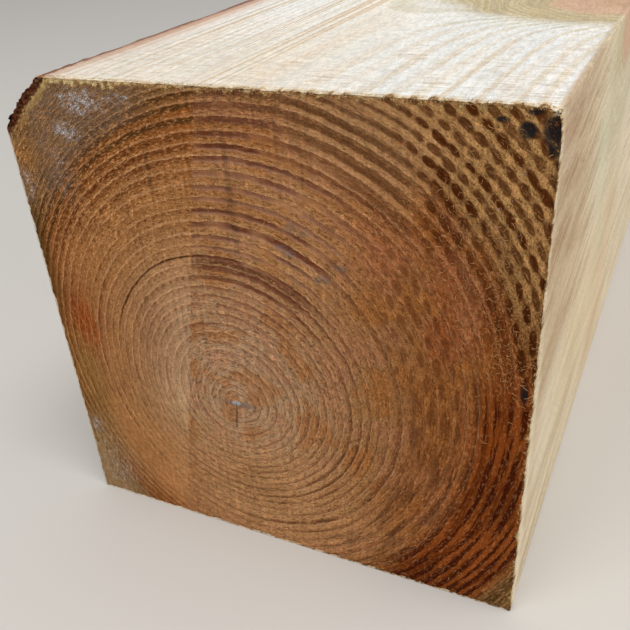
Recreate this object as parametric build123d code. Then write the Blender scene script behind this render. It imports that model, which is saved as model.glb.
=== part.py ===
from build123d import *
import os

# Sawn timber beam: one squared length of softwood with its heart inside.
# The log was just too small for the section at one corner, so its round surface
# is left there as wane, widest towards the small end and running out along the arris.
# X is the width, Y the length, Z up. The origin is the middle of the rest face.

# sawn section and length
beam_width = 200.0
beam_height = 198.0
beam_length = 2400.0

# the wane at the small end of the log, measured from where a sharp arris would be
wane_on_top = 20.0
wane_on_side = 18.0

# the log itself
opposite_cover = 4.0      # wood sawn off outside the arris across from the wane
log_oval = 1.14           # long diameter over short diameter
log_taper = 12.0          # growth of the diameter for each metre of length
log_bow = 5.0             # sideways bow of the log at the middle of its length
log_overhang = 15.0       # log trimmed off past each sawn end
log_stations = 5          # outlines along the log

metre = 1000.0

os.makedirs("parts", exist_ok=True)

left_face = -beam_width / 2
right_face = beam_width / 2
small_end = -beam_length / 2

# The log is turned so that its long diameter runs between the arrises beside the wane.
long_way = Vector(beam_width, beam_height).normalized()
short_way = Vector(-long_way.Y, long_way.X)


# Squeezes the section along the oval's long way, which turns its outline into a circle.
def to_round(across, up):
    point = Vector(across, up)
    return Vector(point.dot(long_way) / log_oval, point.dot(short_way))


def from_round(point):
    return long_way * (point.X * log_oval) + short_way * point.Y


# The small end's outline passes through both edges of the wane, and clears the
# opposite arris by its cover.
to_wane = Vector(left_face - right_face, beam_height).normalized()
covered_arris = Vector(right_face, 0) - to_wane * opposite_cover
outline = ThreePointArc(
    to_round(left_face + wane_on_top, beam_height),
    to_round(covered_arris.X, covered_arris.Y),
    to_round(left_face, beam_height - wane_on_side),
)
small_end_centre = from_round(outline.arc_center)
small_end_radius = outline.radius


# One outline of the log, where along runs from 0 at the small end to 1 at the butt.
def log_outline(along):
    distance = along * beam_length
    radius = small_end_radius + log_taper * distance / metre / 2
    bow = log_bow * (1 - (2 * along - 1) ** 2)
    centre = small_end_centre - to_wane * bow
    plane = Plane(
        origin=(centre.X, small_end + distance, centre.Y),
        x_dir=(long_way.X, 0, long_way.Y),
        z_dir=(0, -1, 0),
    )
    return plane * Ellipse(radius * log_oval, radius)


first_station = -log_overhang / beam_length
station_step = (1 - 2 * first_station) / (log_stations - 1)
log = loft([log_outline(first_station + station_step * i) for i in range(log_stations)])

# the four saw cuts along the log, and the two that trim its ends
sawn_block = Pos(0, 0, beam_height / 2) * Box(beam_width, beam_length, beam_height)
beam = sawn_block & log

export_step(beam, "parts/beam.step")
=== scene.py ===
# Sawn timber beam with its heart inside, looked at from its small end.
# Everything is in metres in the frame of the CAD model. The wood's own pattern is
# worked out in millimetres from the lower left corner of the small end.
import math

import bpy
from mathutils import Euler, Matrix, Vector
from mathutils.bvhtree import BVHTree


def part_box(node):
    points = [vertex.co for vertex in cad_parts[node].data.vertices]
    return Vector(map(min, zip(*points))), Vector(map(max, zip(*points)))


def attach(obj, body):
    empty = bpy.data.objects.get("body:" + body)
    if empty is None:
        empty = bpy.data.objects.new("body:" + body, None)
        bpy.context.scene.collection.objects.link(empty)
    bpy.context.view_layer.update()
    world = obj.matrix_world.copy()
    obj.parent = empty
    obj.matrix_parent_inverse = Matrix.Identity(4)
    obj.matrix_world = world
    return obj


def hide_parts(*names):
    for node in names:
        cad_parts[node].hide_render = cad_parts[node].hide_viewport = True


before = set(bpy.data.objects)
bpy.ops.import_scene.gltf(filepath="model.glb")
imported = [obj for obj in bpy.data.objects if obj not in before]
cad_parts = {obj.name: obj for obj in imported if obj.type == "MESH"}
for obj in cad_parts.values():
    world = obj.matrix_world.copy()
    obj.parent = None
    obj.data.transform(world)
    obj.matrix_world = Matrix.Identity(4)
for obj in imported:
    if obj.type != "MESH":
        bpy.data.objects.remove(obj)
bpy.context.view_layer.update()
boxLow, boxHigh = [Vector(corner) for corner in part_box("beam")]
boxSize = boxHigh - boxLow
mm = 0.001


# where the picture is taken from: close in front of the small end, looking down on it
viewpoint = {
    "place": (0.1296, -1.4056, 0.2567),
    "tilt": 57.44,              # degrees up from looking straight down
    "roll": 3.66,
    "heading": 25.18,           # degrees to the left of straight along the beam
    "lens": 43.92,
    "sensor": 36,
    "shiftUp": 0.0476,
}


def addCamera(v):
    data = bpy.data.cameras.new("camera")
    data.lens = v["lens"]
    data.sensor_width = v["sensor"]
    data.shift_y = v["shiftUp"]
    data.clip_start = 0.01
    camera = bpy.data.objects.new("camera", data)
    camera.location = v["place"]
    camera.rotation_euler = Euler([math.radians(v[key]) for key in ("tilt", "roll", "heading")])
    bpy.context.scene.collection.objects.link(camera)
    bpy.context.scene.camera = camera


addCamera(viewpoint)
print("camera placed")


# One value on its way through a node tree, so that a formula in nodes reads like one.
# It works the same in a shader and in Geometry Nodes.
class Wire:
    def __init__(self, tree, socket):
        self.tree = tree
        self.socket = socket

    # another output of the node that this value comes from
    def beside(self, output):
        return Wire(self.tree, self.socket.node.outputs[output])

    def math(self, operation, *others):
        return addNode(self.tree, "ShaderNodeMath", (self, *others), operation=operation)

    def __add__(self, other):
        return self.math("ADD", other)

    def __sub__(self, other):
        return self.math("SUBTRACT", other)

    def __rsub__(self, other):
        return addNode(self.tree, "ShaderNodeMath", (other, self), operation="SUBTRACT")

    def __mul__(self, other):
        return self.math("MULTIPLY", other)

    def __truediv__(self, other):
        return self.math("DIVIDE", other)

    __radd__ = __add__
    __rmul__ = __mul__

    def plus(self, factor, offset):
        return self.math("MULTIPLY_ADD", factor, offset)

    # a wave from -1 to 1 with its crests this far apart
    def wave(self, pitch):
        return (self * (2 * math.pi / pitch)).math("COSINE")

    # eases from low to high while the value goes from start to end
    def ease(self, start, end, low=0, high=1):
        values = (self, start, end, low, high)
        return addNode(self.tree, "ShaderNodeMapRange", values, interpolation_type="SMOOTHSTEP")

    # eases in from start to end, and out again from stop to last
    def band(self, start, end, last, stop):
        return self.ease(start, end) * self.ease(last, stop)


# Feeds a node's inputs, given in order or by name. Each is a wire or a fixed value.
def feed(node, inputs):
    for slot, value in inputs.items() if isinstance(inputs, dict) else enumerate(inputs):
        if isinstance(value, Wire):
            value.tree.links.new(value.socket, node.inputs[slot])
        else:
            node.inputs[slot].default_value = value


# adds a node with its settings and inputs, and returns the wire of one of its outputs
def addNode(tree, kind, inputs=(), output=0, **settings):
    node = tree.nodes.new(kind)
    for key, value in settings.items():
        setattr(node, key, value)
    feed(node, inputs)
    return Wire(tree, node.outputs[output])


def treeOf(*values):
    return next(value.tree for value in values if isinstance(value, Wire))


def join(x, y, z):
    return addNode(treeOf(x, y, z), "ShaderNodeCombineXYZ", (x, y, z))


def splitVector(vector):
    first = addNode(vector.tree, "ShaderNodeSeparateXYZ", (vector,))
    return [first.beside(axis) for axis in range(3)]


def noise(x, y, z, detail=1, roughness=0.5, distortion=0):
    values = {"Scale": 1, "Detail": detail, "Roughness": roughness, "Distortion": distortion}
    return addNode(treeOf(x, y, z), "ShaderNodeTexNoise", {"Vector": join(x, y, z), **values})


def chance(x, y, z):
    inputs = {"Vector": join(x, y, z)}
    return addNode(treeOf(x, y, z), "ShaderNodeTexWhiteNoise", inputs, "Value", noise_dimensions="3D")


def blend(factor, first, second, mode="MIX"):
    first, second = [value if isinstance(value, Wire) else (*value, 1) for value in (first, second)]
    values = {0: factor, 6: first, 7: second}
    tree = treeOf(factor, first, second)
    return addNode(tree, "ShaderNodeMix", values, 2, data_type="RGBA", blend_type=mode)


def colourRamp(position, stops, interpolation="LINEAR"):
    colour = addNode(position.tree, "ShaderNodeValToRGB", (position,))
    ramp = colour.socket.node.color_ramp
    ramp.interpolation = interpolation
    for index, (place, stopColour) in enumerate(stops):
        stop = ramp.elements[index] if index < 2 else ramp.elements.new(place)
        stop.position = place
        stop.color = (*stopColour, 1)
    return colour


# a colour given from 0 to 255, as the renderer wants it, brightened by what the light lacks
def tone(red, green, blue, light=1):
    return tuple(min((value / 255) ** 2.2 / light, 1) for value in (red, green, blue))


# How the log grew. Lengths are millimetres.
growth = {
    "pithAcross": 85.1,
    "pithUp": 72.3,
    "taper": 0.006,             # a ring comes this much closer to the heart for each mm towards the butt
    "wander": 5,                # how far the pith strays sideways along the length
    "wanderReach": (410, 530),
    "wanderPhase": 0.9,
    "middleRadius": 70,         # where the ring shape below is taken, and how fast it changes outwards
    "outwardStep": 50,
    "ringWidth": 4.49,
    "sapRadius": 128,           # the sapwood starts here, with narrower rings
    "sapRings": 0.11,           # how many more of them for each mm
    "firstCount": -8.16,
    "rhythm": ((86, 2.535, 0.338), (20, -2.466, 0.089)),    # pitch, phase and strength
    "heartReach": 12,           # rings crowd at the heart
    "heartRings": 2.4,
}

# The rings are rounder near the heart and lie wider to the right and below further out.
# Each pair is the share at the middle radius, and what one outward step adds.
ringShape = {
    "mean": (1.161, 0.027),
    "right": (-0.049, -0.101),
    "up": (-0.140, 0.022),
    "oval": (0.034, 0.044),
    "slant": (0.010, 0.009),
    "lobe": (-0.002, 0.011),
    "lobeSlant": (-0.013, -0.015),
}

knots = {
    "firstWhorl": 193,          # from the small end, measured at the pith
    "whorlStep": 463,
    "firstAngle": 49.5,
    "turn": 71,                 # how far each whorl is turned from the last
    "lean": 0.25,               # towards the small end, which was the upper one
    "thickness": 20,
    "sweep": 36,                # how far the rings bulge beside a knot
    "reach": 12,
    "length": 0.62,             # square of its width over its length along the beam
    "calm": 0.4,                # how much sooner the rings settle across the beam than along it
    "unevenness": 9,
}


# the nearest knot, folded out of whorls of three
def knotField(across, along, up, right, above, radius):
    k = knots
    fromFirst = along + radius * k["lean"] - k["firstWhorl"]
    whorl = (fromFirst / k["whorlStep"] + 0.5).math("FLOOR")
    lengthwise = fromFirst - whorl * k["whorlStep"]
    angle = above.math("ARCTAN2", right) - whorl * math.radians(k["turn"]) - math.radians(k["firstAngle"])
    third = math.radians(120)
    turns = (angle / third + 0.5).math("FLOOR")
    number = turns.math("WRAP", 3, 0)
    luck = chance(whorl, number, 4)
    firstKnot = whorl.math("COMPARE", 0, 0.5) * number.math("COMPARE", 0, 0.5)
    strength = luck.math("MAXIMUM", firstKnot)
    crosswise = (angle - turns * third).math("SINE") * radius
    stray = noise(across * 0.05, along * 0.03, up * 0.05, 2) - 0.5
    longPart, crossPart = lengthwise * lengthwise * k["length"], crosswise * crosswise
    thickness = strength * k["thickness"] * radius.ease(5, 110)
    distance = (longPart + crossPart).math("SQRT") + stray * k["unevenness"]
    outside = distance - thickness
    beside = (longPart + crossPart * k["calm"]).math("SQRT") + stray * k["unevenness"] - thickness
    bend = (beside.math("MAXIMUM", 0) / -k["reach"]).math("EXPONENT") * strength
    return {
        "inKnot": outside.ease(3, -2), "knotRing": distance / 2.1, "bend": bend,
        "push": bend * k["sweep"] * radius.ease(10, 110),
    }


# Where a point lies in the log: its place among the rings, and its year and season.
def ringField(across, along, up, withKnots=False):
    g = growth
    warp = noise(across * 0.03, along * 0.003, up * 0.03, 2) - 0.5
    fineWarp = noise(across * 0.22, along * 0.011, up * 0.22, 1) - 0.5

    # the pith line, straight through its place on the small end
    phase = g["wanderPhase"]
    reachAcross, reachUp = g["wanderReach"]
    pithAcross = (along / reachAcross).math("SINE").plus(g["wander"], g["pithAcross"])
    startUp = g["pithUp"] - math.sin(phase) * g["wander"]
    pithUp = (along / reachUp + phase).math("SINE").plus(g["wander"], startUp)
    right = across - pithAcross
    above = up - pithUp
    radius = (right * right + above * above).math("SQRT").math("MAXIMUM", 0.01)
    cosine = right / radius
    sine = above / radius

    # the ring's own radius, measured the way the rings lie
    outward = radius.plus(1 / g["outwardStep"], -g["middleRadius"] / g["outwardStep"])
    outward = outward.math("MAXIMUM", -1.4).math("MINIMUM", 2.2)
    share = {name: outward.plus(pair[1], pair[0]) for name, pair in ringShape.items()}
    cosineTwo = (cosine * cosine).plus(2, -1)
    shape = share["mean"] + share["right"] * cosine + share["up"] * sine
    shape = shape + share["oval"] * cosineTwo + share["slant"] * cosine * sine * 2
    shape = shape + share["lobe"] * cosine * cosineTwo.plus(2, -1)
    shape = shape + share["lobeSlant"] * sine * cosineTwo.plus(2, 1)
    ring = radius * shape - along * g["taper"] + warp * 2.4 + fineWarp * 0.9

    field = {"radius": radius, "cosine": cosine, "sine": sine, "warp": warp, "fineWarp": fineWarp}
    if withKnots:
        field.update(knotField(across, along, up, right, above, radius))
        field["place"] = ring
        ring = ring - field["push"]

    # counts the rings, which are narrower at the heart and the bark and keep an uneven rhythm
    count = ring.plus(1 / g["ringWidth"], g["firstCount"])
    for pitch, start, swing in g["rhythm"]:
        count = count + ring.plus(2 * math.pi / pitch, start).math("SINE") * swing
    count = count - (ring / -g["heartReach"]).math("EXPONENT").math("MINIMUM", 4) * g["heartRings"]
    count = count + (ring - g["sapRadius"]).math("MAXIMUM", 0) * g["sapRings"]
    field.update({
        "ring": ring, "count": count,
        "year": (count + 0.2).math("FLOOR"), "season": (count + 0.2).math("FRACT"),
    })
    return field


# dark late wood, which builds up slowly and stops sharply at the end of the year
def lateWood(season):
    return season.band(0.45, 0.9, 1, 0.955)


# The beam's mesh: loops of points round the section, one behind the other, and a grid
# over each end. The points are closest together at the small end.
beamMesh = {
    "cellsAcross": 180,         # on each side of the section at the small end
    "firstStep": 0.0006,
    "stepGrowth": 1.165,
    "fineUntil": 0.16,          # distances from the small end
    "middleUntil": 0.9,
    "middleStep": 0.014,
    "middleGrowth": 1.02,
    "coarseStep": 0.03,
    "buttFrom": 0.15,           # this far from the butt it gets finer again
    "buttLoops": 12,
    "buttCrowding": 1.6,
    "waneReach": 0.06,          # the wane lies inside this square
    "inset": 0.00001,           # rays at the ends start this far inside
    "waneTilt": 0.3,            # least slant of the faces under the bark
    "deepInside": 60,           # depth under the bark in mm, where it doesn't matter
}


# the distances of the loops from the small end, with how many points each skips
def loopPlan(b):
    plan = [(0, 1)]
    step = b["firstStep"]
    while plan[-1][0] + step < b["fineUntil"]:
        plan.append((plan[-1][0] + step, 1))
        step *= b["stepGrowth"]
    step = b["middleStep"]
    while plan[-1][0] + step < b["middleUntil"]:
        plan.append((plan[-1][0] + step, 2))
        step = min(step * b["middleGrowth"], b["coarseStep"])
    buttStart = boxSize.y - b["buttFrom"]
    count = round((buttStart - plan[-1][0]) / b["coarseStep"])
    start = plan[-1][0]
    plan += [(start + (buttStart - start) * (i + 1) / count, 4) for i in range(count)]
    for i in range(b["buttLoops"]):
        left = (1 - (i + 1) / b["buttLoops"]) ** b["buttCrowding"]
        plan.append((boxSize.y - b["buttFrom"] * left, 2))
    return plan


# How the wood lies on the picture it is baked to: the ends side by side, and under them one
# strip for each long face, with more room for its front. Sizes are shares of the picture.
bakeMap = {"margin": 0.004, "end": 0.46, "strip": 0.126, "frontRoom": 0.3, "frontLength": 0.16}


def addBakeMap(mesh, shares, sideFaces, frontFaces):
    m = bakeMap
    places = [(0, 0)] * len(mesh.loops)
    endBase = 1 - m["margin"] - m["end"]
    near = 1e-6
    onSide = (
        lambda x, z: z < near, lambda x, z: x > 1 - near, lambda x, z: z > 1 - near, lambda x, z: x < near,
    )
    for face in mesh.polygons:
        mine = [shares[index] for index in face.vertices]
        if face.index >= sideFaces:
            left = m["margin"] if face.index < frontFaces else 2 * m["margin"] + m["end"]
            spots = [(left + x * m["end"], endBase + z * m["end"]) for x, z in mine]
        else:
            side = next(k for k in range(4) if all(onSide[k](x, z) for x, z in mine))
            base = m["margin"] + side * (m["margin"] + m["strip"])
            spots = []
            for index, (x, z) in zip(face.vertices, mine):
                distance = mesh.vertices[index].co.y - boxLow.y
                front = min(distance / m["frontLength"], 1) * m["frontRoom"]
                rest = max(distance - m["frontLength"], 0) / (boxSize.y - m["frontLength"])
                u = m["margin"] + (1 - 2 * m["margin"]) * (front + rest * (1 - m["frontRoom"]))
                spots.append((u, base + (x if side % 2 == 0 else z) * m["strip"]))
        for loop, spot in zip(face.loop_indices, spots):
            places[loop] = spot
    layer = mesh.uv_layers.new(name="OFBake")
    layer.data.foreach_set("uv", [value for spot in places for value in spot])


def makeBeamMesh(b):
    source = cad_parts["beam"]
    corners = [source.matrix_world @ v.co for v in source.data.vertices]
    skin = BVHTree.FromPolygons(corners, [p.vertices[:] for p in source.data.polygons])
    n = b["cellsAcross"]
    inner = Vector((boxLow.x + b["waneReach"], 0, boxHigh.z - b["waneReach"]))

    # moves a point of the plain square section onto or inside the log's round surface
    def fitSection(x, y, z):
        if x >= inner.x or z <= inner.z:
            return Vector((x, y, z))
        middle = Vector((inner.x, y, inner.z))
        reach = Vector((x, y, z)) - middle
        plain = b["waneReach"] / max(-reach.x, reach.z)
        start = Vector((inner.x, min(max(y, boxLow.y + b["inset"]), boxHigh.y - b["inset"]), inner.z))
        hit = skin.ray_cast(start, reach.normalized())[0]
        limit = (hit - start).length / (reach.length * plain) if hit else 1
        return middle + reach * min(limit, 1)

    inwardOfSide = (Vector((0, 0, 1)), Vector((-1, 0, 0)), Vector((0, 0, -1)), Vector((1, 0, 0)))

    # a point of the square outline, and which way is into the wood there: one axis on a face,
    # two on an arris
    def outlinePoint(index):
        side, step = divmod(index, n)
        right, rise = boxSize.x * (step / n), boxSize.z * (step / n)
        x, z = (
            (boxLow.x + right, boxLow.z), (boxHigh.x, boxLow.z + rise),
            (boxHigh.x - right, boxHigh.z), (boxLow.x, boxHigh.z - rise),
        )[side]
        return x, z, inwardOfSide[side] + (inwardOfSide[side - 1] if step == 0 else Vector())

    points, inward, faces, shares = [], [], [], []
    plan = loopPlan(b)
    loops = []
    for number, (distance, skip) in enumerate(plan):
        loop = []
        y = boxLow.y + distance
        for index in range(0, 4 * n, skip):
            loop.append(len(points))
            x, z, inside = outlinePoint(index)
            points.append(fitSection(x, y, z))
            shares.append(((x - boxLow.x) / boxSize.x, (z - boxLow.z) / boxSize.z))
            endwise = 1 if number == 0 else -1 if number == len(plan) - 1 else 0
            inward.append(inside + Vector((0, endwise, 0)))
        loops.append(loop)

    # joins each loop to the next, three triangles wide where the number of points halves
    for front, back in zip(loops, loops[1:]):
        total = min(len(front), len(back))
        for i in range(total):
            if len(front) == len(back):
                j = (i + 1) % total
                faces.append((front[i], back[i], back[j], front[j]))
            elif len(front) > len(back):
                a, m, c = front[2 * i], front[2 * i + 1], front[(2 * i + 2) % len(front)]
                p, q = back[i], back[(i + 1) % total]
                faces += [(a, p, m), (p, q, m), (m, q, c)]
            else:
                a, c = front[i], front[(i + 1) % total]
                p, m, q = back[2 * i], back[2 * i + 1], back[(2 * i + 2) % len(back)]
                faces += [(a, p, m), (a, m, c), (m, q, c)]

    # the two ends, which share their rim with the first and last loop
    def closeEnd(loop, skip, y, endwise):
        cellCount = n // skip
        grid = {tuple(round(share * cellCount) for share in shares[index]): index for index in loop}
        for i in range(cellCount + 1):
            for j in range(cellCount + 1):
                if (i, j) in grid:
                    continue
                grid[i, j] = len(points)
                x = boxLow.x + boxSize.x * i / cellCount
                z = boxLow.z + boxSize.z * j / cellCount
                points.append(fitSection(x, y, z))
                shares.append((i / cellCount, j / cellCount))
                inward.append(Vector((0, endwise, 0)))
        for i in range(cellCount):
            for j in range(cellCount):
                face = (grid[i, j], grid[i + 1, j], grid[i + 1, j + 1], grid[i, j + 1])
                faces.append(face if endwise > 0 else face[::-1])

    sideFaces = len(faces)
    closeEnd(loops[0], plan[0][1], boxLow.y, 1)
    frontFaces = len(faces)
    closeEnd(loops[-1], plan[-1][1], boxHigh.y, -1)

    mesh = bpy.data.meshes.new("sawn_beam")
    mesh.from_pydata(points, [], faces)
    mesh.validate()
    mesh.update()

    # how deep each point lies under the log's surface, which only matters beside the wane
    waneFaces = [p for p in source.data.polygons if min(-p.normal.x, p.normal.z) > b["waneTilt"]]
    bark = BVHTree.FromPolygons(corners, [p.vertices[:] for p in waneFaces])
    depth = []
    for point in points:
        near = bark.find_nearest(point)[0] if point.x < inner.x and point.z > inner.z else None
        depth.append((near - point).length / mm if near else b["deepInside"])

    def mark(name, kind, domain, values, key="value"):
        mesh.attributes.new(name, kind, domain).data.foreach_set(key, values)

    mark("barkDepth", "FLOAT", "POINT", depth)
    mark("inward", "FLOAT_VECTOR", "POINT", [value for vector in inward for value in vector], "vector")
    mark("endFace", "BOOLEAN", "FACE", [index >= sideFaces for index in range(len(faces))])
    addBakeMap(mesh, shares, sideFaces, frontFaces)
    mesh.shade_smooth()
    # the edges along an arris, where both points face two ways into the wood
    twoWays = [vector.length > 1.2 for vector in inward]
    mark("sharp_edge", "BOOLEAN", "EDGE", [twoWays[a] and twoWays[b] for a, b in mesh.edge_keys])
    return mesh


mesh = makeBeamMesh(beamMesh)
print("beam mesh:", len(mesh.vertices), "points", len(mesh.polygons), "faces")
beam = bpy.data.objects.new("sawn_beam", mesh)
bpy.context.scene.collection.objects.link(beam)


# Colours as they look in daylight, from 0 to 255. The light on the end is a little weaker than
# on the top, so the end grain is written that much brighter.
endLight = 0.66

# by the ring's radius in mm: the pale wood of spring and the dark wood of late summer
endTones = {
    "early": (
        (0, (184, 150, 118)), (30, (178, 144, 110)), (52, (164, 123, 85)), (66, (158, 114, 73)),
        (104, (156, 104, 61)), (114, (142, 86, 44)), (120, (128, 76, 36)), (128, (126, 90, 53)),
        (138, (144, 106, 66)), (157, (146, 112, 74)),
    ),
    "late": (
        (0, (130, 90, 60)), (50, (114, 72, 48)), (64, (94, 54, 34)), (108, (92, 46, 22)),
        (119, (76, 36, 12)), (129, (74, 38, 16)), (157, (80, 44, 20)),
    ),
}

sideTones = {
    "early": (
        (0, (224, 186, 150)), (100, (228, 194, 160)), (114, (230, 210, 186)), (122, (234, 229, 217)),
        (130, (236, 236, 231)), (158, (236, 238, 238)),
    ),
    "late": (
        (0, (188, 140, 96)), (100, (194, 146, 100)), (114, (220, 186, 148)), (122, (228, 208, 182)),
        (134, (222, 208, 188)), (158, (226, 216, 196)),
    ),
}

barkStyle = {
    "thickness": 3.4,
    "unevenness": 1.6,
    "deep": (66, 37, 22),
    "crust": (132, 80, 56),
    "skin": (112, 82, 66),      # sawn through, as it shows along the top, and its pale spots
    "paleSkin": (160, 122, 104),
    "frontSkin": (132, 76, 56), # the same close to the small end
}

woodFinish = {"roughness": 0.82, "endShine": 0.04, "sideShine": 0.15}


def grainRamp(ring, stops, light=1.0):
    reach = 160
    return colourRamp(ring / reach, [(radius / reach, tone(*colour, light)) for radius, colour in stops])


# a soft oval patch round a point, 1 in the middle and 0 outside
def patch(across, up, x, z, width, height, softness=0.5):
    sideways = across.plus(1 / width, -x / width)
    upward = up.plus(1 / height, -z / height)
    return (sideways * sideways + upward * upward).math("SQRT").ease(1 + softness, 1 - softness)


# the strongest of several masks
def anyOf(first, *others):
    for other in others:
        first = first.math("MAXIMUM", other)
    return first


# a colour that is painted over, again and again, where a mask lets the paint through
class Coat:
    def __init__(self, colour, light=1):
        self.colour = colour
        self.light = light

    def cover(self, mask, colour):
        self.colour = blend(mask, self.colour, colour)

    def paint(self, mask, *rgb):
        self.cover(mask, tone(*rgb, self.light))

    def darken(self, shade):
        self.colour = blend(1, self.colour, join(shade, shade, shade), "MULTIPLY")


def newMaterial(name):
    material = bpy.data.materials.new(name)
    material.use_nodes = True
    return material, material.node_tree.nodes["Principled BSDF"]


# a place in millimetres across, along and up from the lower left corner of the small end
def inWood(place):
    x, y, z = splitVector(place)
    return x.plus(1 / mm, -boxLow.x / mm), y.plus(1 / mm, -boxLow.y / mm), z * (1 / mm)


def startWood(name):
    material = newMaterial(name)[0]
    return material, *inWood(addNode(material.node_tree, "ShaderNodeTexCoord", (), "Object"))


def finishWood(material, colour, height, shine):
    shader = material.node_tree.nodes["Principled BSDF"]
    bump = {"Strength": 1, "Distance": mm, "Height": height}
    feed(shader, {
        "Base Color": colour, "Roughness": woodFinish["roughness"], "Specular IOR Level": shine,
        "Normal": addNode(material.node_tree, "ShaderNodeBump", bump),
    })


# the bark left on the wane, as a mask, a colour and a height, with the distance to its inner edge
def barkLayer(across, along, up, skin):
    b = barkStyle
    crust = noise(across * 0.6, along * 0.16, up * 0.6, 4, 0.7, 0.6)
    depth = addNode(across.tree, "ShaderNodeAttribute", (), "Fac", attribute_name="barkDepth")
    toWood = depth - crust.plus(b["unevenness"] * 4, b["thickness"] - b["unevenness"] * 2)
    coat = Coat(blend(crust.ease(0.42, 0.6), tone(*b["deep"]), tone(*b["crust"])))
    coat.paint(depth.ease(1.3, 0.5) * crust.ease(0.4, 0.5), *b["crust"])
    sawn = Coat(blend(crust.ease(0.4, 0.6), tone(*b["skin"]), tone(*b["paleSkin"])))
    sawn.paint(along.ease(30, 0) * 0.6, *b["frontSkin"])
    coat.cover(skin, sawn.colour)
    return toWood.ease(0.3, -0.3), coat.colour, crust * 1.6, toWood


# What the saw, the drying and the weather left on the end grain. The places are millimetres
# across and up from the lower left corner.
endMarks = {
    "passEdge": (73, 130, 0.19),          # where two saw passes meet, the height there, and its lean
    "tickPitch": 3.3,
    "toothPitch": 6.13,                   # marks of single teeth on the right, leaning outwards
    "toothLean": 0.38,
    "firstTooth": 101,
    "innerRows": {"last": 106, "pitch": 5.2},
    "shake": {"ring": 65.4, "from": 98, "to": 150},       # a crack along a ring, between two angles
}

# The rings that show dark where the teeth cross them in the top right corner: radius, strength
spotRows = (
    (110.8, 0.8), (115.8, 0.9), (120.9, 1), (125, 1), (129.6, 1), (133, 0.8),
    (136.2, 1), (139.6, 0.75), (143.2, 0.85), (146.8, 1), (150, 0.7), (153, 0.9), (156.6, 0.9),
)


# the waves that the single teeth left
def toothWave(across, up):
    return (across - up * endMarks["toothLean"] - endMarks["firstTooth"]).wave(endMarks["toothPitch"])


# 1 along the stretch of its ring where the wood has cracked
def shakeStretch(field):
    angle = field["sine"].math("ARCTAN2", field["cosine"])
    start, stop = [math.radians(endMarks["shake"][key]) for key in ("from", "to")]
    runOut = 0.1
    return angle.ease(start - runOut, start + runOut) * angle.ease(stop + runOut, stop - runOut)


# Dark spots where the tooth marks cross the dark rings. The colour ramp holds the rows of
# spots in its red and their strength in its green.
def toothSpots(across, up, ring, stray):
    low, high = 100, 162
    stops = [(0, (0, 0, 0))]
    for index, (radius, strength) in enumerate(spotRows):
        following, nextStrength = spotRows[index + 1] if index + 1 < len(spotRows) else (high, strength)
        stops.append(((radius - low) / (high - low), (1, strength, 0)))
        between = (radius + following) / 2
        stops.append(((between - low) / (high - low), (0, (strength + nextStrength) / 2, 0)))
    ramp = colourRamp(ring.plus(1 / (high - low), -low / (high - low)), stops, "EASE")
    rows, strength = splitVector(ramp)[:2]
    inner = endMarks["innerRows"]
    innerRows = (ring - inner["last"]).wave(inner["pitch"]).plus(0.5, 0.5)
    innerRows = innerRows * ring.ease(inner["last"] + 1, inner["last"] - 1.5) * ring.ease(76, 88)
    columns = toothWave(across, up).plus(0.5, 0.5)
    lot = noise(across * 0.14, up * 0.14, ring * 0.12, 1.5, 0.6) - 0.5
    spots = (rows * columns.plus(0.75, 0.3) + stray * 0.9 + lot * 1.1).ease(0.22, 0.46) * strength
    faint = (innerRows * columns.plus(0.75, 0.25) + stray * 0.8 + lot * 1.5).ease(0.26, 0.52)
    return spots, rows * strength, faint


# how far the torn fibres of the long faces reach over the end: less than nothing where
# the end's dark wood shows past the arris instead
def frayedEdge(across, up):
    wobble = noise(across * 0.3, up * 0.3, 2, 5, 0.7).ease(0.34, 0.66, -0.8, 2.8)
    scallops = across.wave(endMarks["tickPitch"]) * across.ease(80, 50, 0.1, 0.5)
    bites = toothWave(across, up).plus(1.2, 0.7) * across.ease(90, 118)
    return wobble + scallops + across.ease(76, 30) * 1.8 - bites


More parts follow.
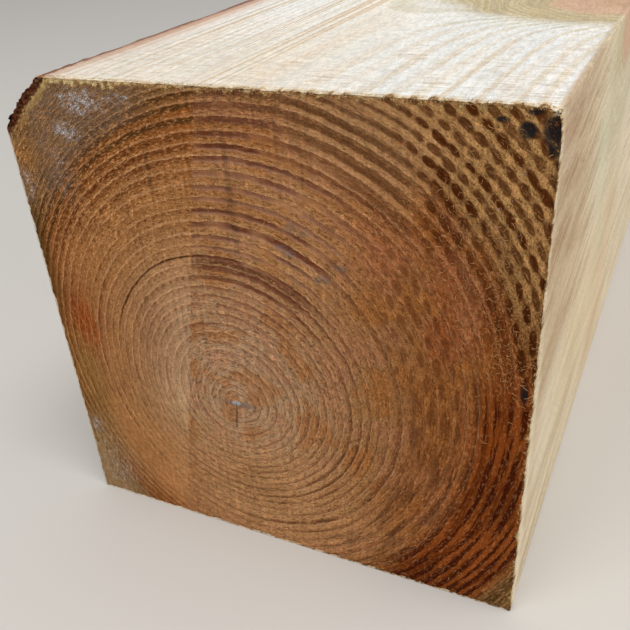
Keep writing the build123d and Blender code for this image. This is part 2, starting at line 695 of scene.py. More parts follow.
def makeEndWood():
    material, across, along, up = startWood("end_grain")
    marks = endMarks
    halfway = boxSize.y / mm / 2
    front = along.ease(halfway + 100, halfway)    # 1 on the small end, 0 on the butt
    field = ringField(across, along, up)
    ring, season = field["ring"], field["season"]
    width, height = boxSize.x / mm, boxSize.z / mm

    # a patch that is on the small end only
    def area(*placeAndSize):
        return patch(across, up, *placeAndSize) * front

    crumbs = noise(across * 0.5, up * 0.5, ring * 1.35, 3, 0.7)
    hairs = noise(across * 2.2, up * 2.2, ring * 1.2, 2, 0.6)
    curls = noise(across * 0.75, up * 0.75, 5, 1.5, 0.55, 1.4)
    loose = (curls - 0.5).math("ABSOLUTE").ease(0.04, 0.008)
    patches = noise(across * 0.05, up * 0.05, ring * 0.04, 3)
    streaks = noise(across * 0.8, up * 0.025, 3, 2, 0.6)

    # areas of the end
    edgeAcross, edgeUp, lean = marks["passEdge"]
    edge = up.plus(lean, edgeAcross - edgeUp * lean)
    rightPass = (across - edge + field["fineWarp"] * 2).ease(-0.6, 0.6)
    fuzzy = patch(across, up, 158, 112, 30, 50)
    thick = area(144, 184, 28, 17, 0.5)
    crisp = patch(across, up, 104, 156, 34, 40) * rightPass * (1 - thick)
    olive = ring.ease(140, 149) * up.ease(66, 30) * across.ease(176, 190)
    lowEdge = ring.ease(104, 113) * up.ease(124, 92) * across.ease(142, 156) * (1 - olive)
    alongRing = noise(field["cosine"] * 4, field["sine"] * 4, ring * 0.42, 2, 0.6)
    rightOrTop = anyOf(across.ease(160, 170), (across + up).ease(326, 342))
    corner = ring.ease(119, 126) * rightOrTop * up.ease(60, 92) * front
    corner = corner * (1 - area(178, 146, 11, 15) * 0.75)

    # the dark rings, some broad and some narrow, broken up by the saw
    luck = chance(field["year"], 7, 1)
    boldRings = (field["count"] - 5.3).math("ABSOLUTE").ease(1.15, 0.9) * rightPass
    strength = anyOf(luck.plus(0.55, 0.45), boldRings)
    fade = noise(across * 0.06, up * 0.06, field["year"] * 3.7, 1).ease(0.34, 0.56, 0.35, 1)
    ticks = (across + field["fineWarp"] * 2).wave(marks["tickPitch"]).plus(0.3, 0.6)
    plain = (ticks + (1 - ticks) * rightPass) * strength * fade
    plain = plain * fuzzy.plus(-0.35, 1) * crisp.plus(0.3, 0.9)
    plain = plain * patch(across, up, 52, 14, 42, 30, 0.6).plus(-0.5, 1)
    outer = ring.ease(88, 112) * (1 - rightPass)
    outer = anyOf(outer, ring.ease(106, 118) * up.ease(140, 165))
    firm = (season + luck * 0.22).ease(0.55, 0.72) * season.ease(1, 0.95)
    narrow = (season + luck * 0.15 + outer * 0.22).ease(0.6, 0.92) * season.ease(1, 0.955)
    narrow = narrow * (plain + anyOf(outer * 0.4, thick) * (1 - plain))
    narrow = narrow * (1 - ring.ease(126, 134) * (1 - rightPass) * crumbs.ease(0.4, 0.6, 0.3, 0.8))
    leftBand = season.band(0.4, 0.7, 1, 0.93) * ring.band(110, 115, 132, 126) * (1 - rightPass)
    narrow = anyOf(narrow, leftBand * up.ease(84, 100))
    softRight = area(160, 40, 44, 60, 0.6) * ring.ease(70, 90)
    narrow = narrow * softRight.plus(-0.2, 1)
    unsteady = (patches - 0.5) * 0.5 + (crumbs - 0.5) * 0.4 + (hairs - 0.5) * 0.25
    broad = season.band(0.38, 0.62, 1, 0.88) * alongRing.ease(0.54, 0.44)
    narrow = anyOf(narrow, broad * softRight * 0.6)
    spots, rows, faint = toothSpots(across, up, ring, unsteady)
    narrow = narrow * (1 - thick * 0.35)
    late = anyOf(narrow, season.band(0.3, 0.6, 1, 0.9) * thick * 0.45)
    late = late + (rows.ease(0.3, 0.62) * alongRing.ease(0.62, 0.48) - late) * lowEdge * front
    unbroken = rows.ease(0.45, 0.8) * crumbs.ease(0.36, 0.56, 0.6, 0.85)
    late = late + (spots + (unbroken - spots) * across.ease(166, 150) - late) * corner
    inner = ring.ease(106, 109) * (across + up).ease(300, 320) * up.ease(96, 112) * front
    boldness = anyOf(up.ease(146, 160), across.ease(178, 188)).plus(0.25, 0.7)
    innerSpots = spots * inner * boldness * across.ease(157, 165) * (1 - corner)
    topRows = ring.ease(101, 106) * (across + up).ease(296, 316) * across.ease(163, 155) * front
    topStreaks = rows.ease(0.45, 0.8) * topRows * crumbs.ease(0.34, 0.54, 0.5, 0.85) * (1 - corner)
    faintSpots = faint * area(165, 118, 20, 50, 0.4) * (1 - lowEdge) * 0.62
    late = anyOf(late, innerSpots, topStreaks, faintSpots)

    coat = Coat(grainRamp(ring, endTones["early"], endLight), endLight)
    # grey where it dried first, orange and rosy where it is freshly torn
    coat.paint(area(80, 98, 34, 34, 0.7) * 0.3, 172, 144, 122)
    coat.paint(area(67, 50, 8, 15, 0.9) * 0.35, 156, 122, 76)
    coat.paint(patches.ease(0.48, 0.6) * rightPass * (1 - corner) * 0.5, 164, 110, 82)
    coat.paint(patches.ease(0.5, 0.38) * rightPass * (1 - corner) * 0.6, 172, 104, 48)
    greenish = ring.ease(121, 128) * (1 - corner) * across.ease(176, 150) * up.ease(60, 110) * front
    coat.paint(greenish * 0.55, 120, 90, 62)
    coat.paint(topRows * 0.5, 176, 130, 88)
    coat.paint(area(24, 178, 44, 34, 0.8) * 0.35, 92, 68, 38)
    coat.paint(area(30, 98, 24, 30, 0.8) * 0.2, 116, 60, 22)
    coat.paint(area(4, 170, 14, 22, 0.8) * patches.ease(0.4, 0.56) * 0.6, 152, 104, 56)
    coat.paint(area(8, 62, 9, 46, 0.7) * 0.6, 124, 96, 48)
    ruddy = anyOf(area(169, 118, 7, 34, 0.7), area(148, 156, 18, 24, 0.8) * 0.6)
    ruddy = anyOf(ruddy, area(182, 92, 12, 46, 0.7) * 0.8)
    coat.paint(ruddy * patches.ease(0.36, 0.56) * 0.7, 142, 70, 28)
    coat.paint(softRight * 0.6, 122, 67, 25)
    coat.paint(area(42, 22, 26, 22, 0.7) * streaks.ease(0.4, 0.6) * 0.4, 152, 92, 48)
    coat.paint(area(96, 24, 44, 26, 0.7) * 0.85, 188, 140, 96)
    coat.paint(area(52, 95, 16, 18, 0.8) * 0.3, 120, 78, 46)
    coat.paint(area(14, 98, 9, 14, 0.8) * streaks.ease(0.38, 0.54) * 0.95, 126, 54, 18)
    wedge = blend(alongRing.ease(0.4, 0.58), tone(84, 38, 10, endLight), tone(118, 60, 22, endLight))
    coat.cover(lowEdge * front * 0.92, wedge)
    coat.paint(olive * front, 116, 88, 46)
    coat.paint(olive * alongRing.ease(0.48, 0.38) * front * 0.8, 74, 54, 28)
    strands = noise((across - up * marks["toothLean"]) * 1.5, up * 0.45, 4, 3, 0.7)
    golden = (1 - rows * 0.75) * strands.ease(0.3, 0.66, 0.5, 1.15)
    netLight = blend(up.ease(112, 152), tone(124, 78, 36, endLight), tone(184, 142, 90, endLight))
    net = blend(golden, tone(104, 64, 31, endLight), netLight)
    netted = anyOf((across * 2.05 + up).ease(516, 534), (across + up).ease(334, 350))
    redEdge = ring.ease(112, 120) * across.ease(176, 184) * up.ease(84, 100) * (1 - netted) * front
    coat.paint(redEdge * 0.75, 112, 56, 21)
    coat.cover(corner * ring.ease(121, 127) * netted * 0.85, net)

    # late wood: greyish violet where it was left smooth, darkest at its outer edge
    coat.paint(anyOf(crisp * 0.3, thick * 0.65), 178, 134, 92)
    coat.paint(firm * crisp * fade * 0.7, 134, 102, 88)
    lateCoat = Coat(grainRamp(ring, endTones["late"], endLight), endLight)
    lateCoat.paint(ring.ease(108, 116) * (1 - rightPass) * up.ease(110, 130) * front * 0.7, 82, 58, 32)
    lateCoat.paint(crisp * 0.6, 84, 50, 40)
    lateCoat.paint(lowEdge * front * 0.9, 58, 20, 2)
    arcs = anyOf(ring.band(59.2, 60.4, 65.2, 64.4), ring.band(55.4, 56.4, 58.4, 57.8))
    arcs = arcs * rightPass * area(98, 130, 26, 15, 0.4)
    late = anyOf(late, arcs * hairs.ease(0.3, 0.5, 0.5, 0.9))
    nearHeart = ring.ease(62, 26) * front
    lateCoat.paint(nearHeart * 0.7, 116, 70, 46)
    coat.cover(late * (1 - nearHeart * 0.35), lateCoat.colour)
    # a pale band just outside each dark ring: the year's first wood, paler than the rest, and on top of
    # that a painted highlight along the ridge of the late wood
    firstWoodHighlight = season.ease(0.24, 0.08) * (1 - anyOf(fuzzy * 0.7, softRight * 0.8, lowEdge, corner))
    coat.paint(firstWoodHighlight * strength * nearHeart.plus(0.25, 0.4), 196, 152, 114)

    # crumbs: painted shade in the gaps under them, a painted highlight on top of them, and pale fibres
    # torn loose; fine hairs are painted lighter and darker as their own light and shade
    torn = rightPass.plus(0.45, 0.55) * (1 - firm * crisp * 0.8)
    rough = torn + patch(across, up, 22, 176, 54, 44) * (1 - rightPass) * 0.6
    dark = anyOf(spots * corner, innerSpots * 0.9, faintSpots, lowEdge * front * 0.8)
    rough = rough * (1 - anyOf(dark, softRight * 0.35, thick * 0.6) * 0.8)
    pitShade = crumbs.ease(0.46, 0.36) * rough
    # painted highlight on top of the crumbs
    coat.paint(crumbs.ease(0.52, 0.64) * rough * fuzzy.plus(-0.18, 0.5), 206, 150, 100)
    # painted light and shade of the fine hairs
    grain = hairs.ease(0.3, 0.7, -0.3, 0.3) * rough
    # painted shade in the gaps between the crumbs, as a colour and as a darkening
    coat.paint(pitShade * 0.5, 104, 58, 30)
    shade = (1 - pitShade * 0.34) * patches.plus(0.5, 0.77)
    shade = shade * (1 + (streaks - 0.475) * fuzzy.plus(-0.5, 0.8)) + grain
    shade = shade * (1 - alongRing.ease(0.52, 0.42) * softRight * (1 - lowEdge) * 0.35)
    coat.darken(shade)
    coat.paint(loose * rough * rightPass * (1 - corner) * (1 - lowEdge) * 0.2, 206, 160, 112)

    # dust in the lower left corner, darker along the left edge, a burnt streak or two, mould and ink
    dust = area(0, 14, 28, 34) * (streaks * 0.6 + hairs * 0.4).ease(0.4, 0.56)
    coat.paint(dust * 0.5, 152, 126, 86)
    upright = noise(across * 0.8, up * 0.28, 11, 2, 0.7).ease(0.57, 0.64)
    coat.paint(upright * area(9, 18, 12, 22, 0.7) * 0.6, 178, 168, 148)
    coat.paint(area(0, 124, 5, 34, 0.7) * 0.6, 74, 54, 26)
    burnt = anyOf(area(94.5, 160, 1.4, 20, 0.6), area(62, 166, 0.9, 9, 0.6))
    coat.paint(burnt * (late * 0.5 + 0.3), 62, 46, 36)
    blue = anyOf(
        area(116, 153, 2.6, 1.6), area(120.5, 151.5, 3, 1), area(111.5, 145, 2.4, 1.4),
        area(114.5, 143.5, 2.8, 1.4), area(126.5, 135.5, 3.2, 1.6), area(134, 141, 2.4, 1.2),
    )
    coat.paint(blue * hairs.ease(0.4, 0.54) * 0.55, 98, 98, 98)
    ink = anyOf(
        area(190.8, 191.2, 2.5, 2.4, 0.3), area(197.8, 191.5, 3.2, 4.4, 0.3), area(198.5, 187, 2, 3, 0.3),
        area(184, 193.6, 2, 0.9, 0.4), area(192.2, 196.2, 2.2, 1, 0.4), area(196.8, 105, 1.2, 3, 0.5),
    )
    coat.paint(ink * crumbs.ease(0.36, 0.46) * 0.92, 31, 34, 37)

    # pith with its short crack, and the crack along a ring; the cracks are painted dark as painted shade
    coat.paint(area(growth["pithAcross"] + 1, growth["pithUp"], 7, 1.3) * 0.55, 104, 98, 102)
    heart = area(growth["pithAcross"] - 0.5, growth["pithUp"] + 0.4, 1.9, 1.1, 0.4) * hairs.ease(0.42, 0.5)
    coat.paint(heart, 176, 182, 190)
    drop = patch(across - up * 0.12 + 8.6, up, growth["pithAcross"] - 0.6, 65.5, 0.42, 6.5, 0.5)
    fromShake = (ring - marks["shake"]["ring"] + (hairs - 0.5) * 0.8).math("ABSOLUTE")
    crack = anyOf(fromShake.ease(0.42, 0.15) * shakeStretch(field), drop * 0.8)
    # painted shade inside the cracks
    coat.paint(crack * front * 0.85, 52, 28, 14)

    # resin dried to a white crust in the sapwood, with tiny painted glints over it
    bits = noise(across * 0.45, up * 0.45, ring * 0.5, 4, 0.8)
    haze = ring.ease(118, 126) * across.band(74, 50, 6, 16) * up.ease(118, 140) * front
    resinArea = anyOf(
        area(38, 190, 11, 5, 0.6), area(29, 179.5, 7, 4, 0.6),
        area(22, 164, 6, 11, 0.7) * 0.5, area(3, 157, 4, 7, 0.7) * 0.7,
        area(10, 14, 13, 16, 0.7) * 0.55, area(5, 40, 4, 5, 0.6) * 0.8,
        area(54, 192, 6, 3, 0.6) * 0.7, haze * 0.3,
    )
    resin = (bits + resinArea * 0.2).ease(0.62, 0.8) * resinArea.ease(0.1, 0.5)
    coat.paint(haze * bits.ease(0.36, 0.56) * 0.5, 100, 78, 62)
    coat.paint(resinArea * bits.ease(0.4, 0.56) * 0.45, 132, 118, 106)
    coat.paint(resin * 0.5, 156, 148, 150)
    coat.paint(resin.ease(0.3, 0.9) * hairs.ease(0.5, 0.58) * 0.9, 206, 206, 210)
    # painted glints: tiny pale specks sparkle over the resin and its haze
    coat.paint(hairs.ease(0.66, 0.7) * anyOf(haze, resinArea) * 0.7, 190, 180, 172)
    beads = noise(across * 0.6, up * 0.6, ring * 0.5, 2, 0.7)
    beads = beads.ease(0.66, 0.72) * anyOf(area(174, 186, 6, 5), area(188, 172, 6, 12))
    coat.paint(beads * 0.7, 176, 160, 172)

    # torn fibres of the long faces hang over the arrises
    fray = frayedEdge(across, up)
    topGap = fray - height + up
    rightGap = fray * up.ease(150, 90, 0.1, 0.65) - width + across
    covered = anyOf(topGap, rightGap) + (hairs - 0.5) * 1.6
    shadedFray, litFray = tone(150, 116, 68, endLight), tone(212, 188, 140, endLight)
    overhang = Coat(blend(covered.ease(0, 2.2), shadedFray, litFray), endLight)
    overhang.darken(hairs.ease(0.36, 0.6, 0.7, 1.1))
    coat.cover(covered.ease(-0.7, 1) * 0.9, overhang.colour)

    isBark, barkColour, barkHeight, toWood = barkLayer(across, along, up, 0)
    strip = toWood.ease(3.4, 1) * crumbs.ease(0.3, 0.55, 0.5, 1) * up.ease(176, 192, 0.1, 1)
    coat.paint(strip * 0.65, 172, 144, 90)
    coat.cover(isBark, barkColour)
    torn = torn * (1 - anyOf(lowEdge * 0.6, softRight * 0.3))
    height = crumbs * torn * 2.2 + hairs * 0.35 + loose * torn * 0.3
    height = height + firm * rightPass * (1 - lowEdge) * 0.5
    finishWood(material, coat.colour, height + isBark * barkHeight, woodFinish["endShine"])
    return material


def makeSideWood():
    material, across, along, up = startWood("side_grain")
    field = ringField(across, along, up, withKnots=True)
    ring, season = field["ring"], field["season"]
    width = boxSize.x / mm
    tanned = across.ease(width - 3, width - 1)
    raised = up - along.math("MINIMUM", 220) * tanned * 0.16
    fibres = noise(across * 1.1, along * 0.014, raised * 1.1, 4, 0.65)
    flecks = noise(across * 1.9, along * 0.4, up * 1.9, 3, 0.65)
    strokes = noise(across * 0.06, along * 1.3, up * 0.06, 3, 0.75)
    drift = noise(across * 0.07, along * 0.014, up * 0.07, 3)
    luck = chance(field["year"], 3, 9)
    speckle = noise(across * 0.8, along * 0.26, up * 0.8, 4, 0.75)
    late = season.band(0.3, 0.66, 1, 0.86) * luck.plus(0.9, 0.15)
    rightSide = (across * 0.7 + up * 0.3).ease(130, 160)

    # cream sapwood, torn white in spring wood and peach between
    coat = Coat(grainRamp(field["place"], sideTones["early"]))
    late = late * fibres.ease(0.36, 0.54, 0.5, 1)
    smooth = (drift + late * 0.06).ease(0.46, 0.6)
    coat.paint(smooth * 0.24, 234, 217, 196)
    coat.cover(late * rightSide.plus(0.2, 0.75), grainRamp(field["place"], sideTones["late"]))
    coat.paint(fibres.ease(0.54, 0.62) * 0.25, 226, 212, 188)

    onTop = up.ease(190, 196)
    white = anyOf(across.band(58, 66, 86, 78), across.band(112, 122, 142, 132))
    coat.paint(white * onTop * fibres.ease(0.36, 0.56, 0.2, 0.5), 240, 238, 232)
    peach = across.band(80, 88, 114, 104) * onTop
    coat.paint(peach * fibres.ease(0.4, 0.6, 0.1, 0.4), 238, 214, 188)
    bluish = onTop * anyOf(rightSide, across.ease(90, 60) * 0.5) * along.ease(60, 190)
    coat.paint(bluish * 0.7, 234, 242, 250)
    stripes = noise(across * 0.42, along * 0.0015, 7, 3, 0.7)
    striped = onTop * across.ease(120, 84)
    coat.paint(stripes.ease(0.52, 0.58) * striped * 0.85, 208, 180, 142)
    coat.paint(stripes.ease(0.5, 0.42) * striped * 0.85, 244, 242, 236)
    # near the small end the face turns a darker cream, speckled with painted shade of raised fibres
    speckledShade = speckle.ease(0.36, 0.56, 0.5, 1)
    coat.paint(along.ease(110, 10) * (1 - rightSide) * speckledShade * 0.36, 224, 206, 178)

    # the right face has dried longer: tan with cream lines, greenish and peach in bands further back; near
    # the small end painted shade makes it darker, most towards the top, with rosy and brown shaded patches
    # at its front
    # painted shade: the tan darkens towards the small end and towards the top
    shadeNearEnd = along.ease(170, 30) * up.ease(20, 150, 0.4, 1)
    darkTan = blend(shadeNearEnd, tone(204, 184, 154), tone(160, 134, 104))
    lightTan = blend(shadeNearEnd, tone(236, 222, 194), tone(220, 198, 164))
    bands = noise(across * 0.3, along * 0.008, raised * 0.3, 3, 0.6)
    tan = Coat(blend((fibres * 0.4 + bands * 0.4 + speckle * 0.2).ease(0.42, 0.57), darkTan, lightTan))
    tan.paint(late * 0.3, 206, 176, 138)
    # fuzz tufts near the front: pale fibres with painted shade between them
    tufts = noise(5, along * 0.05, raised * 0.8, 3, 0.8)
    tufted = along.ease(110, 10) * up.ease(20, 60, 0.4, 1)
    tan.paint(tufts.ease(0.5, 0.4) * tufted * 0.45, 150, 120, 88)
    tan.paint(tufts.ease(0.52, 0.62) * tufted * 0.5, 240, 226, 200)
    # painted shade: a rosy brown patch at the top front and a brown one lower down
    tan.paint(patch(along, up, 8, 196, 42, 34, 0.8) * 0.6, 178, 146, 122)
    tan.paint(patch(along, up, 20, 128, 50, 56, 0.8) * 0.5, 174, 142, 104)
    tan.paint(along.ease(110, 190) * up.ease(110, 150) * 0.6, 212, 206, 188)
    for *placeAndSize, share, rgb in (
        (124, 160, 34, 26, 0.6, (212, 208, 176)), (44, 68, 34, 28, 0.6, (236, 222, 196)),
        (112, 78, 52, 32, 0.5, (216, 194, 148)), (186, 50, 34, 70, 0.5, (206, 172, 130)),
        (150, 184, 24, 9, 0.6, (196, 164, 124)), (60, 42, 70, 5, 0.45, (194, 172, 136)),
    ):
        tan.paint(patch(along, up, *placeAndSize, 0.8) * share, *rgb)
    tan.paint(drift.ease(0.42, 0.56) * 0.3, 226, 212, 184)
    coat.cover(tanned, tan.colour)

    # olive and dense round a knot, rosy in it
    coat.paint(field["bend"].ease(0.02, 0.14) * late * 0.7, 204, 204, 178)
    flow = noise(field["knotRing"] * 1.1, across * 0.03, 1, 3, 0.7)
    sweep = field["bend"].ease(0.1, 0.46) * (1 - tanned * 0.6) * flow.ease(0.34, 0.5, 0.7, 1)
    coat.cover(sweep, blend(flow.ease(0.38, 0.6), tone(172, 150, 108), tone(206, 192, 156)))
    knotWave = (field["knotRing"] * 0.5 + fibres * 3).math("SINE").plus(0.2, 0.2)
    knot = blend(knotWave, tone(208, 172, 146), tone(178, 142, 108))
    coat.cover(field["inKnot"] * 0.95, knot)

    # short scratches across the face, closest together near the end
    density = along.ease(170, 20, 0.35, 1)
    scratches = strokes.ease(0.53, 0.6) * flecks.ease(0.38, 0.48) * density * (1 - tanned * 0.6)
    coat.paint(scratches * smooth.plus(0.4, 0.25), 190, 158, 122)
    # painted shade: speckles and dark flecks darken the faces as the small shadows of raised fibres,
    # calmer on the tan face, while the tone drifts
    calm = 1 - tanned * 0.5
    shade = (1 + (speckle.ease(0.4, 0.6) - 0.6) * calm * 0.2) * (1 + (flecks - 0.5) * calm * 0.5)
    shade = shade * drift.plus(0.2, 0.9) * flecks.ease(0.34, 0.27, 1, 0.75)
    coat.darken(shade)

    # pale torn fibres along the front of both faces
    torn = anyOf(along.ease(6, 0.4), tanned * along.ease(14, 3) * up.ease(150, 100))
    torn = torn * (flecks + fibres).ease(0.84, 1)
    coat.paint(torn * 0.75, 240, 226, 198)
    # the end's wood shows where the arris has broken away
    gone = 0.5 - frayedEdge(across, up) - along * 0.75 + (flecks - 0.5) * 2.4
    coat.paint(gone.ease(-2.4, 0) * 0.7, 200, 170, 120)
    coat.paint(gone.ease(-0.6, 0.8) * 0.9, 112, 78, 44)

    # on the flat faces the bark is cut smooth
    flat = anyOf(up - boxSize.z / mm, 0 - across).ease(-0.7, -0.3)
    isBark, barkColour, barkHeight, toWood = barkLayer(across, along, up, flat)
    coat.paint(toWood.ease(18, 2) * along.ease(0, 90, 0.3, 0.7), 210, 178, 154)
    coat.paint(toWood.ease(7, 0) * along.ease(0, 60, 0.5, 0.8), 184, 140, 118)
    coat.cover(isBark, barkColour)
    height = flecks * 0.35 + fibres * 0.25 - scratches * 0.1
    height = height + isBark * barkHeight * (1 - flat * 0.8)
    finishWood(material, coat.colour, height, woodFinish["sideShine"])
    return material


# How far the surfaces lie inside the sawn box, in millimetres.
relief = {
    "Crumbled end": 0.8,
    "Fuzz depth": 0.45,
    "Late wood ridge": 0.22,
    "Saw waves": 0.12,
    "Saw marks": 0.1,
    "Worn arris": 0.7,
    "Crushed corner": 2.6,
    "Bark relief": 1.3,
}


# how thickly loose fibres cover the small end
def fuzzSpread(across, up):
    spread = patch(across, up, 190, 152, 30, 56, 0.4) * 0.6
    spread = spread + patch(across, up, 150, 92, 44, 60, 0.5) * 0.3
    inked = patch(across, up, 196, 191, 9, 7, 0.3)
    wedge = across.ease(150, 172) * up.ease(112, 80) * 0.8
    return (spread + across.ease(70, 90, 0.1, 0.3)) * (1 - anyOf(inked, wedge))


def socketOf(tree, name):
    return next(item.identifier for item in tree.interface.items_tree if item.name == name)


# a Geometry Nodes tree with its geometry and number inputs, and the wires of those by name
def startTree(name, numbers):
    tree = bpy.data.node_groups.new(name, "GeometryNodeTree")
    tree.is_modifier = True
    tree.interface.new_socket("Geometry", in_out="INPUT", socket_type="NodeSocketGeometry")
    tree.interface.new_socket("Geometry", in_out="OUTPUT", socket_type="NodeSocketGeometry")
    for label in numbers:
        tree.interface.new_socket(label, in_out="INPUT", socket_type="NodeSocketFloat")
    entry = tree.nodes.new("NodeGroupInput")
    return tree, {output.name: Wire(tree, output) for output in entry.outputs if output.name}


def applyTree(piece, tree, numbers):
    modifier = piece.modifiers.new(tree.name, "NODES")
    modifier.node_group = tree
    for label, value in numbers.items():
        modifier[socketOf(tree, label)] = float(value)
    graph = bpy.context.evaluated_depsgraph_get()
    made = bpy.data.meshes.new_from_object(piece.evaluated_get(graph))
    piece.modifiers.remove(modifier)
    old = piece.data
    piece.data = made
    made.name = old.name
    bpy.data.meshes.remove(old)
    made.name = piece.name


def named(tree, name, kind="FLOAT"):
    inputs = {"Name": name}
    return addNode(tree, "GeometryNodeInputNamedAttribute", inputs, "Attribute", data_type=kind)


def finishTree(last):
    feed(last.tree.nodes.new("NodeGroupOutput"), (last,))
    return last.tree


def makeReliefTree(endWood, sideWood):
    tree, given = startTree("sawn_relief", relief)
    across, along, up = inWood(addNode(tree, "GeometryNodeInputPosition"))
    field = ringField(across, along, up)

    # distance to the nearest arris: the middle one of the three distances to the box's sides
    gaps = []
    for place, size in ((across, boxSize.x / mm), (along, boxSize.y / mm), (up, boxSize.z / mm)):
        gaps.append(place.math("MINIMUM", size - place).math("MAXIMUM", 0))
    least = gaps[0].math("MINIMUM", gaps[1]).math("MINIMUM", gaps[2])
    most = gaps[0].math("MAXIMUM", gaps[1]).math("MAXIMUM", gaps[2])
    toArris = gaps[0] + gaps[1] + gaps[2] - least - most
    wear = noise(across * 0.13, along * 0.13, up * 0.13, 4, 0.65).ease(0.3, 0.75, 0.15, 1)
    worn = (toArris / -1.1).math("EXPONENT") * wear * given["Worn arris"]
    cornerGap = (gaps[0] * gaps[0] + gaps[1] * gaps[1] + gaps[2] * gaps[2]).math("SQRT")
    topRight = across.ease(150, 190) * up.ease(150, 190)
    worn = worn + (cornerGap / -3).math("EXPONENT") * topRight * given["Crushed corner"]

    crumbs = noise(across * 0.4, up * 0.4, field["ring"] * 0.5, 3, 0.6)
    waves = toothWave(across, up).plus(0.5, 0.5)
    crack = (field["ring"] - endMarks["shake"]["ring"]).math("ABSOLUTE").ease(1.1, 0.2)
    crack = crack * shakeStretch(field)
    endDepth = crumbs.ease(0.25, 0.75) * given["Crumbled end"]
    endDepth = endDepth + (1 - lateWood(field["season"])) * given["Late wood ridge"]
    endDepth = endDepth + waves * given["Saw waves"] + crack * 0.9 + worn
    endDepth = endDepth + fuzzSpread(across, up).math("MINIMUM", 1) * given["Fuzz depth"]

    strokes = noise(across * 0.02, along * 0.24, up * 0.02, 2.5, 0.6)
    sideDepth = strokes.ease(0.3, 0.7) * given["Saw marks"] + worn
    crust = noise(across * 0.35, along * 0.12, up * 0.35, 4, 0.6, 0.6)
    barkDepth = named(tree, "barkDepth")
    sideDepth = sideDepth + barkDepth.ease(1.4, 0.2) * crust.ease(0.62, 0.38) * given["Bark relief"]
    endDepth = endDepth + barkDepth.ease(3.6, 2.6) * crust.ease(0.35, 0.65)

    inX, inY, inZ = splitVector(named(tree, "inward", "FLOAT_VECTOR"))
    move = join(inX * sideDepth * mm, inY * endDepth * mm, inZ * sideDepth * mm)
    last = addNode(tree, "GeometryNodeSetPosition", {"Geometry": given["Geometry"], "Offset": move})
    for material, faces in ((sideWood, True), (endWood, named(tree, "endFace", "BOOLEAN"))):
        inputs = {"Geometry": last, "Selection": faces, "Material": material}
        last = addNode(tree, "GeometryNodeSetMaterial", inputs)
    return finishTree(addNode(tree, "GeometryNodeRealizeInstances", (last,)))


endWood = makeEndWood()
sideWood = makeSideWood()
print("wood materials:", len(endWood.node_tree.nodes), "and", len(sideWood.node_tree.nodes), "nodes")
applyTree(beam, makeReliefTree(endWood, sideWood), relief)
print("beam relief:", len(beam.data.polygons), "faces", [m.name for m in beam.data.materials])

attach(beam, "root")
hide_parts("beam")

# Loose fibres: a few bent slivers, scattered over a piece of the surface, turned at random
# and kept inside the sawn box.
endFibres = {"Density": 330000, "Length": 1.5, "Thickness": 0.055, "Lift": 0.6, "Seed": 4}
fringeFibres = {"Density": 1500000, "Length": 1.2, "Thickness": 0.055, "Lift": 1, "Seed": 9}
sliverBends = ((0.3, 0.3), (-0.2, 0.6), (0.6, 0.15))
fibreTones = {"golden": (170, 128, 82), "orange": (140, 88, 50), "cream": (216, 192, 150)}


def plainPaint(name, rgb, light):
    material, shader = newMaterial(name)
    feed(shader, {"Base Color": (*tone(*rgb, light), 1), "Roughness": 0.9, "Specular IOR Level": 0.1})
    return material


# Random values for the points. These sockets are given by their place, as their names repeat.
def randomNumber(tree, low, high, seed):
    inputs = {2: low, 3: high, 8: seed}
    return addNode(tree, "FunctionNodeRandomValue", inputs, 1, data_type="FLOAT")


def randomVector(tree, low, high, seed):
    inputs = {0: low, 1: high, 8: seed}
    return addNode(tree, "FunctionNodeRandomValue", inputs, 0, data_type="FLOAT_VECTOR")


def randomChoice(tree, count, seed):
    inputs = {4: 0, 5: count - 1, 8: seed}
    return addNode(tree, "FunctionNodeRandomValue", inputs, 2, data_type="INT")


# one bent sliver, thick at its start and thin at its end
def addSliver(tree, profile, reach, side, lift):
    bezier = addNode(tree, "GeometryNodeCurveQuadraticBezier", {
        "Resolution": 3,
        "Start": join(reach * -0.5, 0, 0),
        "Middle": join(reach * 0.1, reach * side, reach * lift),
        "End": join(reach * 0.4, reach * (side * 0.2), reach * lift * 0.5),
    })
    factor = addNode(tree, "GeometryNodeSplineParameter", (), "Factor")
    taper = {"Curve": bezier, "Radius": factor.ease(0.3, 1, 1, 0.35)}
    curve = addNode(tree, "GeometryNodeSetCurveRadius", taper)
    inputs = {"Curve": curve, "Profile Curve": profile, "Fill Caps": True}
    return addNode(tree, "GeometryNodeCurveToMesh", inputs)


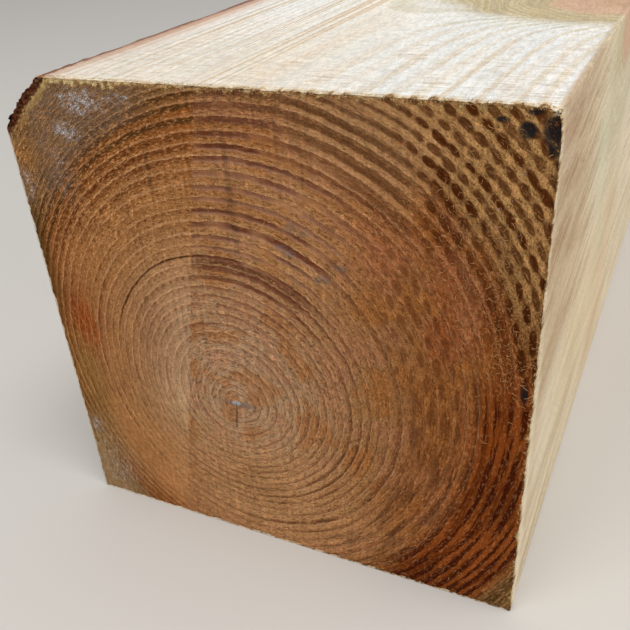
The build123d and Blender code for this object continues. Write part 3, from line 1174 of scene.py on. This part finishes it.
def makeFibreTree(name, numbers, spreadOver, first, second, secondShare):
    tree, given = startTree(name, numbers)
    across, along, up = inWood(addNode(tree, "GeometryNodeInputPosition"))
    seed = given["Seed"]
    radius = {"Resolution": 3, "Radius": given["Thickness"] * mm}
    profile = addNode(tree, "GeometryNodeCurvePrimitiveCircle", radius, mode="RADIUS")
    shapes = addNode(tree, "GeometryNodeGeometryToInstance")
    for side, lift in sliverBends:
        sliver = addSliver(tree, profile, given["Length"] * mm, side, given["Lift"] * lift)
        feed(shapes.socket.node, (sliver,))
    spread = {
        "Mesh": given["Geometry"], "Density": spreadOver(across, up) * given["Density"], "Seed": seed,
    }
    scatter = "GeometryNodeDistributePointsOnFaces"
    points = addNode(tree, scatter, spread, "Points", distribute_method="RANDOM")
    turn = randomVector(tree, (-0.2, -0.2, 0), (0.2, 0.2, 2 * math.pi), seed)
    turns = (points.beside("Rotation"), addNode(tree, "FunctionNodeEulerToRotation", (turn,)))
    turned = addNode(tree, "FunctionNodeRotateRotation", turns, rotation_space="LOCAL")
    kind = {
        "Geometry": points, "Name": "kind",
        "Value": randomNumber(tree, 0, 1, seed) + secondShare(across, up),
    }
    marked = addNode(tree, "GeometryNodeStoreNamedAttribute", kind, data_type="FLOAT", domain="POINT")
    placed = addNode(tree, "GeometryNodeInstanceOnPoints", {
        "Points": marked, "Instance": shapes, "Pick Instance": True,
        "Instance Index": randomChoice(tree, len(sliverBends), seed),
        "Rotation": turned, "Scale": randomNumber(tree, 0.5, 1.5, seed),
    })
    real = addNode(tree, "GeometryNodeRealizeInstances", (placed,))
    place = splitVector(addNode(tree, "GeometryNodeInputPosition"))
    inside = join(*[
        wire.math("MINIMUM", high).math("MAXIMUM", low) for wire, low, high in zip(place, boxLow, boxHigh)
    ])
    last = addNode(tree, "GeometryNodeSetPosition", {"Geometry": real, "Position": inside})
    isSecond = named(tree, "kind").math("GREATER_THAN", 1)
    for material, where in ((first, True), (second, isSecond)):
        inputs = {"Geometry": last, "Selection": where, "Material": material}
        last = addNode(tree, "GeometryNodeSetMaterial", inputs)
    return finishTree(last)


# the part of the beam's surface whose faces pass a test, as a mesh of its own
def surfacePart(name, passes):
    source = beam.data
    chosen = [face for face in source.polygons if passes(face.center, face.normal)]
    used = sorted({index for face in chosen for index in face.vertices})
    place = {index: i for i, index in enumerate(used)}
    mesh = bpy.data.meshes.new(name)
    faces = [[place[index] for index in face.vertices] for face in chosen]
    mesh.from_pydata([source.vertices[index].co for index in used], [], faces)
    piece = bpy.data.objects.new(name, mesh)
    bpy.context.scene.collection.objects.link(piece)
    return piece


def addFibres(name, numbers, passes, spreadOver, first, second, secondShare):
    piece = surfacePart(name, passes)
    applyTree(piece, makeFibreTree(name, numbers, spreadOver, first, second, secondShare), numbers)
    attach(piece, "root")
    triangles = sum(len(face.vertices) - 2 for face in piece.data.polygons)
    print(name + ":", triangles, "triangles")


golden = plainPaint("golden_fibre", fibreTones["golden"], endLight)
orange = plainPaint("orange_fibre", fibreTones["orange"], endLight)
cream = plainPaint("cream_fibre", fibreTones["cream"], endLight)

# Where the fibres stand. The fringe follows the front of the top and right arris, clear of the
# wane, of the right side near its top corner and of the floor.
looseZone = {"depth": 0.004, "facing": -0.7}
fringeZone = {
    "depth": 0.0028, "underTop": 0.0016, "pastWane": 0.019,
    "insideRight": 0.0012, "belowTop": 0.05, "aboveFloor": 0.01,
}


def inLooseZone(centre, normal):
    return centre.y < boxLow.y + looseZone["depth"] and normal.y < looseZone["facing"]


def inFringeZone(centre, normal):
    z = fringeZone
    onTop = centre.z > boxHigh.z - z["underTop"] and centre.x > boxLow.x + z["pastWane"]
    onRight = centre.x > boxHigh.x - z["insideRight"]
    onRight = onRight and z["aboveFloor"] < centre.z < boxHigh.z - z["belowTop"]
    return centre.y < boxLow.y + z["depth"] and (onTop or onRight)


addFibres(
    "loose_fibres", endFibres, inLooseZone, fuzzSpread, orange, golden,
    lambda across, up: patch(across, up, 198, 156, 28, 50, 0.3) * 0.8 + 0.06,
)
addFibres(
    "arris_fringe", fringeFibres, inFringeZone,
    lambda across, up: across.ease(196, 199, 1, 0.45), cream, golden,
    lambda across, up: across * 0 + 0.4,
)

# Plain pale floor, a soft sky over it and three large soft lamps.
studio = {
    "floorSize": 40,
    "floorColour": (0.62, 0.60, 0.57),
    "skyColour": (1, 1, 1),
    "skyStrength": 0.5,
    "lampColour": (1, 0.98, 0.95),
}

lamps = {
    "key": {"place": (0.85, -1.55, 2.25), "aim": (0, -0.9, 0.1), "size": 0.9, "power": 22.5},
    "front": {"place": (-0.9, -2.8, 1.6), "aim": (0, -1.2, 0.1), "size": 1.4, "power": 19},
    "side": {"place": (2.2, -0.5, 1), "aim": (0.1, -0.9, 0.1), "size": 1.2, "power": 14},
}


def addStudio(s):
    bpy.ops.mesh.primitive_grid_add(x_subdivisions=4, y_subdivisions=4, size=s["floorSize"])
    floor = bpy.context.object
    floor.name = "floor"
    paint, shader = newMaterial("floor_paint")
    feed(shader, {"Base Color": (*s["floorColour"], 1), "Roughness": 0.9})
    floor.data.materials.append(paint)
    world = bpy.data.worlds.new("sky")
    world.use_nodes = True
    sky = {"Color": (*s["skyColour"], 1), "Strength": s["skyStrength"]}
    feed(world.node_tree.nodes["Background"], sky)
    bpy.context.scene.world = world
    for name, lamp in lamps.items():
        data = bpy.data.lights.new(name, "AREA")
        data.size = lamp["size"]
        data.energy = lamp["power"]
        data.color = s["lampColour"]
        light = bpy.data.objects.new(name, data)
        light.location = lamp["place"]
        aim = Vector(lamp["aim"]) - Vector(lamp["place"])
        light.rotation_euler = aim.to_track_quat("-Z", "Y").to_euler()
        bpy.context.scene.collection.objects.link(light)
    bpy.context.scene.view_settings.view_transform = "Standard"


addStudio(studio)
print("studio lit")
